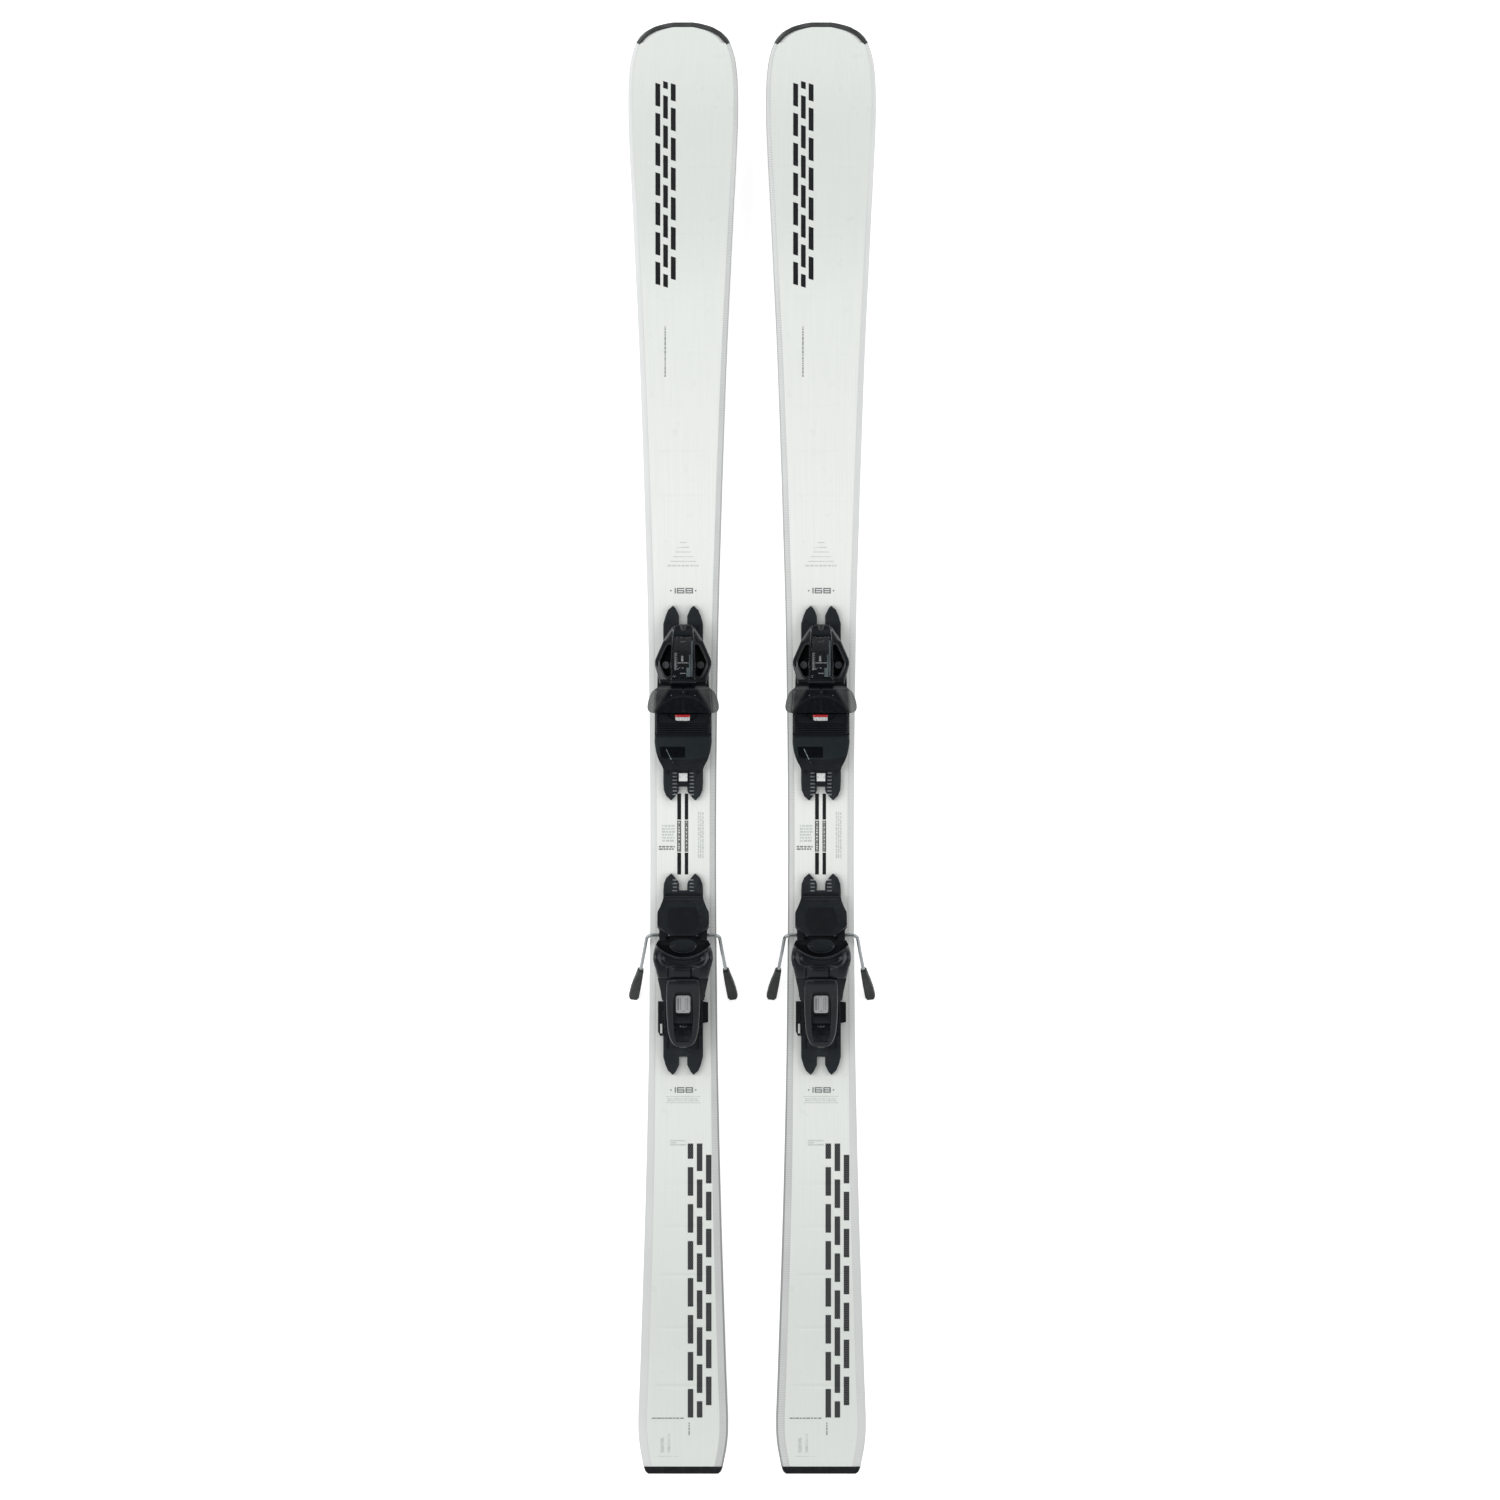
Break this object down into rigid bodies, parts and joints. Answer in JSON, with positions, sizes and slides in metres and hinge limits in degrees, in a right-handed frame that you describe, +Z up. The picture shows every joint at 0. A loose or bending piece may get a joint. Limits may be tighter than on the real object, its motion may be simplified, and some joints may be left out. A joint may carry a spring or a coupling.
{
  "type": "alpine skis with bindings",
  "caption": "Pair of alpine skis with shaped outline and upturned tips, each with a toe piece, heel piece and ski brake mounted on tracks; heels open, brakes down.",
  "frame": {"origin": "middle between the two skis, lengthwise at the middle of their length, at the level of the lowered brake tips, which are the lowest points", "axes": "+Y along the skis towards their tips, +Z up from the running bases, +X across, to the right seen from above with the tips ahead"},
  "size_m": [0.2856, 1.671, 0.1499],
  "materials": {
    "running_base": "sintered polyethylene, ground",
    "wood_core": "laminated wood core with pale side walls",
    "topsheet": "pale grey-green white, satin, shallow cross grooves",
    "edge_steel": "ground steel",
    "end_guard": "glossy black",
    "track_plastic": "fine-grained black",
    "zinc_screw": "dark zinc plated",
    "binding_plastic": "fine-grained black",
    "housing_plastic": "satin black",
    "clear_window": "clear, slightly smoked",
    "scale_plate": "white scale plate",
    "spring_steel": "oiled spring steel",
    "wing_plastic": "smoky translucent black",
    "pivot_steel": "turned steel",
    "slider_plastic": "black low-friction plastic",
    "latch_plastic": "light plastic",
    "brake_wire": "bright zinc-plated steel wire",
    "brake_tip_plastic": "rough black plastic"
  },
  "bodies": {
    "left_ski": {"left_ski_base": "running_base", "left_ski_core": "wood_core", "left_ski_cap": "topsheet", "left_ski_edges": "edge_steel", "left_ski_end_guards": "end_guard", "left_toe_track": "track_plastic", "left_heel_track": "track_plastic", "left_track_screws": "zinc_screw"},
    "left_toe_piece": {"left_toe_carriage": "binding_plastic", "left_toe_housing": "housing_plastic", "left_toe_window": "clear_window", "left_toe_spring": "spring_steel", "left_toe_pivot_pins": "pivot_steel"},
    "left_toe_scale": {"left_toe_indicator": "scale_plate"},
    "left_toe_setting": {"left_toe_screw": "zinc_screw"},
    "left_wing_l": {"left_toe_wing_l": "wing_plastic"},
    "left_wing_r": {"left_toe_wing_r": "wing_plastic"},
    "left_slider": {"left_sole_slider": "slider_plastic"},
    "left_toe_lock": {"left_toe_latch": "latch_plastic"},
    "left_heel_carrier": {"left_heel_sledge": "binding_plastic"},
    "left_heel_lock": {"left_heel_latch": "latch_plastic"},
    "left_heel_body": {"left_heel_frame": "binding_plastic"},
    "left_cup": {"left_heel_cup": "housing_plastic", "left_heel_spring": "spring_steel"},
    "left_lever": {"left_heel_lever": "housing_plastic"},
    "left_heel_scale": {"left_heel_indicator": "scale_plate"},
    "left_heel_setting": {"left_heel_screw": "zinc_screw"},
    "left_brake": {"left_brake_arms": "brake_wire", "left_brake_tips": "brake_tip_plastic"},
    "left_pedal": {"left_brake_pedal": "binding_plastic"},
    "right_ski": {"right_ski_base": "running_base", "right_ski_core": "wood_core", "right_ski_cap": "topsheet", "right_ski_edges": "edge_steel", "right_ski_end_guards": "end_guard", "right_toe_track": "track_plastic", "right_heel_track": "track_plastic", "right_track_screws": "zinc_screw"},
    "right_toe_piece": {"right_toe_carriage": "binding_plastic", "right_toe_housing": "housing_plastic", "right_toe_window": "clear_window", "right_toe_spring": "spring_steel", "right_toe_pivot_pins": "pivot_steel"},
    "right_toe_scale": {"right_toe_indicator": "scale_plate"},
    "right_toe_setting": {"right_toe_screw": "zinc_screw"},
    "right_wing_l": {"right_toe_wing_l": "wing_plastic"},
    "right_wing_r": {"right_toe_wing_r": "wing_plastic"},
    "right_slider": {"right_sole_slider": "slider_plastic"},
    "right_toe_lock": {"right_toe_latch": "latch_plastic"},
    "right_heel_carrier": {"right_heel_sledge": "binding_plastic"},
    "right_heel_lock": {"right_heel_latch": "latch_plastic"},
    "right_heel_body": {"right_heel_frame": "binding_plastic"},
    "right_cup": {"right_heel_cup": "housing_plastic", "right_heel_spring": "spring_steel"},
    "right_lever": {"right_heel_lever": "housing_plastic"},
    "right_heel_scale": {"right_heel_indicator": "scale_plate"},
    "right_heel_setting": {"right_heel_screw": "zinc_screw"},
    "right_brake": {"right_brake_arms": "brake_wire", "right_brake_tips": "brake_tip_plastic"},
    "right_pedal": {"right_brake_pedal": "binding_plastic"}
  },
  "joints": [
    {"name": "left_toe_adjust", "type": "slide", "parent": "left_ski", "child": "left_toe_piece", "axis": [0, 1, 0], "range_m": [-0.015, 0.015]},
    {"name": "left_toe_wing_l", "type": "hinge", "parent": "left_toe_piece", "child": "left_wing_l", "pos_m": [-0.09935, 0.096, 0.0879], "axis": [0, 0, -1], "range_deg": [0, 24], "stiffness_Nm_per_rad": 12, "springref_deg": -17.19},
    {"name": "left_toe_wing_r", "type": "hinge", "parent": "left_toe_piece", "child": "left_wing_r", "pos_m": [-0.05935, 0.096, 0.0879], "axis": [0, 0, 1], "range_deg": [0, 24], "stiffness_Nm_per_rad": 12, "springref_deg": -17.19},
    {"name": "left_sole_slider", "type": "slide", "parent": "left_toe_piece", "child": "left_slider", "axis": [1, 0, 0], "range_m": [-0.006, 0.006], "stiffness_N_per_m": 400},
    {"name": "left_toe_setting", "type": "hinge", "parent": "left_toe_piece", "child": "left_toe_setting", "pos_m": [-0.07935, 0.135, 0.0999], "axis": [0, 1, 0], "range_deg": [-720, 720]},
    {"name": "left_toe_scale", "type": "slide", "parent": "left_toe_piece", "child": "left_toe_scale", "axis": [0, 0.9604, -0.2785], "range_m": [-0.004, 0.004]},
    {"name": "left_toe_lock", "type": "hinge", "parent": "left_toe_piece", "child": "left_toe_lock", "pos_m": [-0.07935, -0.017, 0.0781], "axis": [-1, 0, 0], "range_deg": [0, 7], "stiffness_Nm_per_rad": 0.4, "springref_deg": -17.19},
    {"name": "left_heel_adjust", "type": "slide", "parent": "left_ski", "child": "left_heel_carrier", "axis": [0, 1, 0], "range_m": [-0.018, 0.018]},
    {"name": "left_heel_lock", "type": "hinge", "parent": "left_heel_carrier", "child": "left_heel_lock", "pos_m": [-0.10555, -0.2952, 0.0739], "axis": [0, 0, -1], "range_deg": [0, 12], "stiffness_Nm_per_rad": 0.6, "springref_deg": -17.19},
    {"name": "left_forward_pressure", "type": "slide", "parent": "left_heel_carrier", "child": "left_heel_body", "axis": [0, -1, 0], "range_m": [0, 0.006], "stiffness_N_per_m": 6000, "springref_m": -0.004},
    {"name": "left_heel_cup", "type": "hinge", "parent": "left_heel_body", "child": "left_cup", "pos_m": [-0.07935, -0.258, 0.1059], "axis": [-1, 0, 0], "range_deg": [0, 39]},
    {"name": "left_heel_lever", "type": "hinge", "parent": "left_cup", "child": "left_lever", "pos_m": [-0.07935, -0.269, 0.1359], "axis": [-1, 0, 0], "range_deg": [0, 8]},
    {"name": "left_heel_setting", "type": "hinge", "parent": "left_cup", "child": "left_heel_setting", "pos_m": [-0.07935, -0.31281, 0.10042], "axis": [0, -0.9513, -0.3083], "range_deg": [-720, 720]},
    {"name": "left_heel_scale", "type": "slide", "parent": "left_cup", "child": "left_heel_scale", "axis": [0, -0.951, -0.3091], "range_m": [-0.0024, 0.0024]},
    {"name": "left_brake", "type": "hinge", "parent": "left_heel_carrier", "child": "left_brake", "pos_m": [-0.07935, -0.215, 0.0779], "axis": [-1, 0, 0], "range_deg": [0, 46], "stiffness_Nm_per_rad": 2, "springref_deg": -114.59},
    {"name": "left_brake_pedal", "type": "hinge", "parent": "left_heel_carrier", "child": "left_pedal", "pos_m": [-0.07935, -0.1765, 0.0799], "axis": [1, 0, 0], "range_deg": [0, 15.05]},
    {"name": "right_toe_adjust", "type": "slide", "parent": "right_ski", "child": "right_toe_piece", "axis": [0, 1, 0], "range_m": [-0.015, 0.015]},
    {"name": "right_toe_wing_l", "type": "hinge", "parent": "right_toe_piece", "child": "right_wing_l", "pos_m": [0.05935, 0.096, 0.0879], "axis": [0, 0, -1], "range_deg": [0, 24], "stiffness_Nm_per_rad": 12, "springref_deg": -17.19},
    {"name": "right_toe_wing_r", "type": "hinge", "parent": "right_toe_piece", "child": "right_wing_r", "pos_m": [0.09935, 0.096, 0.0879], "axis": [0, 0, 1], "range_deg": [0, 24], "stiffness_Nm_per_rad": 12, "springref_deg": -17.19},
    {"name": "right_sole_slider", "type": "slide", "parent": "right_toe_piece", "child": "right_slider", "axis": [1, 0, 0], "range_m": [-0.006, 0.006], "stiffness_N_per_m": 400},
    {"name": "right_toe_setting", "type": "hinge", "parent": "right_toe_piece", "child": "right_toe_setting", "pos_m": [0.07935, 0.135, 0.0999], "axis": [0, 1, 0], "range_deg": [-720, 720]},
    {"name": "right_toe_scale", "type": "slide", "parent": "right_toe_piece", "child": "right_toe_scale", "axis": [0, 0.9604, -0.2785], "range_m": [-0.004, 0.004]},
    {"name": "right_toe_lock", "type": "hinge", "parent": "right_toe_piece", "child": "right_toe_lock", "pos_m": [0.07935, -0.017, 0.0781], "axis": [-1, 0, 0], "range_deg": [0, 7], "stiffness_Nm_per_rad": 0.4, "springref_deg": -17.19},
    {"name": "right_heel_adjust", "type": "slide", "parent": "right_ski", "child": "right_heel_carrier", "axis": [0, 1, 0], "range_m": [-0.018, 0.018]},
    {"name": "right_heel_lock", "type": "hinge", "parent": "right_heel_carrier", "child": "right_heel_lock", "pos_m": [0.05315, -0.2952, 0.0739], "axis": [0, 0, -1], "range_deg": [0, 12], "stiffness_Nm_per_rad": 0.6, "springref_deg": -17.19},
    {"name": "right_forward_pressure", "type": "slide", "parent": "right_heel_carrier", "child": "right_heel_body", "axis": [0, -1, 0], "range_m": [0, 0.006], "stiffness_N_per_m": 6000, "springref_m": -0.004},
    {"name": "right_heel_cup", "type": "hinge", "parent": "right_heel_body", "child": "right_cup", "pos_m": [0.07935, -0.258, 0.1059], "axis": [-1, 0, 0], "range_deg": [0, 39]},
    {"name": "right_heel_lever", "type": "hinge", "parent": "right_cup", "child": "right_lever", "pos_m": [0.07935, -0.269, 0.1359], "axis": [-1, 0, 0], "range_deg": [0, 8]},
    {"name": "right_heel_setting", "type": "hinge", "parent": "right_cup", "child": "right_heel_setting", "pos_m": [0.07935, -0.31281, 0.10042], "axis": [0, -0.9513, -0.3083], "range_deg": [-720, 720]},
    {"name": "right_heel_scale", "type": "slide", "parent": "right_cup", "child": "right_heel_scale", "axis": [0, -0.951, -0.3091], "range_m": [-0.0024, 0.0024]},
    {"name": "right_brake", "type": "hinge", "parent": "right_heel_carrier", "child": "right_brake", "pos_m": [0.07935, -0.215, 0.0779], "axis": [-1, 0, 0], "range_deg": [0, 46], "stiffness_Nm_per_rad": 2, "springref_deg": -114.59},
    {"name": "right_brake_pedal", "type": "hinge", "parent": "right_heel_carrier", "child": "right_pedal", "pos_m": [0.07935, -0.1765, 0.0799], "axis": [1, 0, 0], "range_deg": [0, 15.05]},
    {"name": "right_ski_lift", "type": "slide", "parent": "left_ski", "child": "right_ski", "axis": [0, 0, 1], "range_m": [0, 0.3]}
  ],
  "couplings": [
    {"joint": "left_toe_setting", "follows": "left_toe_scale", "rad_per_m": 3125},
    {"joint": "left_heel_lever", "follows": "left_heel_cup", "ratio": 0.2},
    {"joint": "left_heel_setting", "follows": "left_heel_scale", "rad_per_m": 5208},
    {"joint": "left_brake_pedal", "follows": "left_brake", "ratio": 0.32609},
    {"joint": "right_toe_setting", "follows": "right_toe_scale", "rad_per_m": 3125},
    {"joint": "right_heel_lever", "follows": "right_heel_cup", "ratio": 0.2},
    {"joint": "right_heel_setting", "follows": "right_heel_scale", "rad_per_m": 5208},
    {"joint": "right_brake_pedal", "follows": "right_brake", "ratio": 0.32609}
  ]
}
